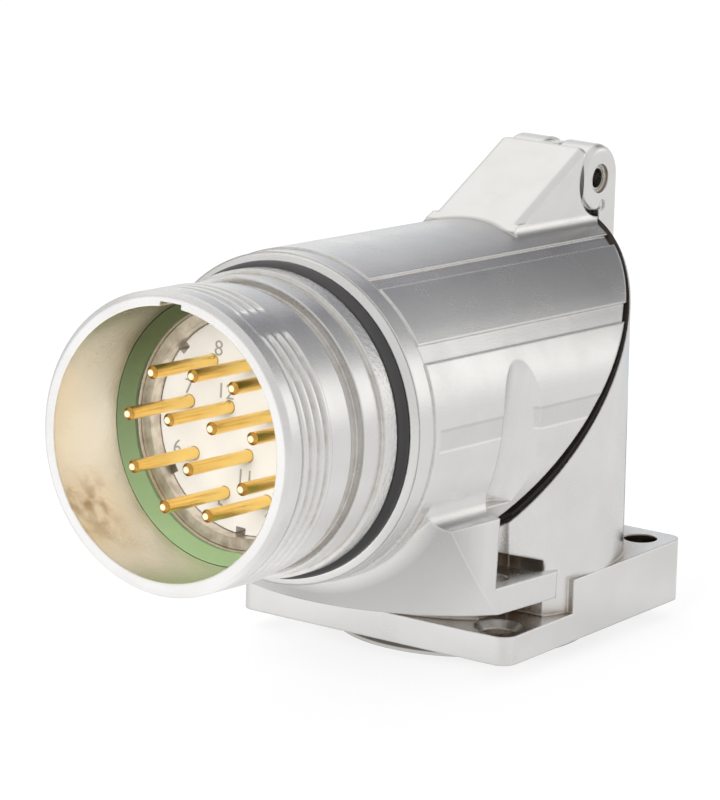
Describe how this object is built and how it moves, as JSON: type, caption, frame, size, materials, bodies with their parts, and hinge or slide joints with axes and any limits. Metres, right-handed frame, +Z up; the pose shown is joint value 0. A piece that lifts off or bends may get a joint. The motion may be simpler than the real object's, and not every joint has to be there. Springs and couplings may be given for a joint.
{
  "type": "right angle panel connector",
  "caption": "Right-angle circular panel receptacle: square flange and column below, hinged barrel with threaded male-contact face above, opened on a rear hinge.",
  "frame": {"origin": "middle of the flange's underside, on the column axis, in the plane of the panel", "axes": "+Z up out of the panel along the column, -Y forward along the shut barrel, +X to the right seen from the front"},
  "size_m": [0.026, 0.0559, 0.0384],
  "materials": {
    "nickel_casting": "satin nickel on die-cast metal",
    "dark_rubber": "matt",
    "black_rubber": "satin",
    "green_rubber": "satin",
    "nickel_sleeve": "satin",
    "insert_plastic": "satin",
    "gold_contact": "polished gold plating",
    "spring_steel": "satin",
    "steel_pin": "satin"
  },
  "bodies": {
    "base": {"base_housing": "nickel_casting", "split_gasket": "dark_rubber", "hinge_pin": "steel_pin", "flange_seal": "dark_rubber"},
    "lid": {"upper_housing": "nickel_casting", "shell_o_ring": "black_rubber", "bore_seal": "green_rubber", "insert_sleeve": "nickel_sleeve", "contact_insert": "insert_plastic", "contact_carrier": "insert_plastic", "insert_retaining_ring": "spring_steel", "contact_pin_01": "gold_contact", "contact_pin_02": "gold_contact", "contact_pin_03": "gold_contact", "contact_pin_04": "gold_contact", "contact_pin_05": "gold_contact", "contact_pin_06": "gold_contact", "contact_pin_07": "gold_contact", "contact_pin_08": "gold_contact", "contact_pin_09": "gold_contact", "contact_pin_10": "gold_contact", "contact_pin_11": "gold_contact", "contact_pin_12": "gold_contact"}
  },
  "joints": [
    {"name": "lid_hinge", "type": "hinge", "parent": "base", "child": "lid", "pos_m": [0, 0.01205, 0.034], "axis": [-1, 0, 0], "range_deg": [0, 100]}
  ]
}
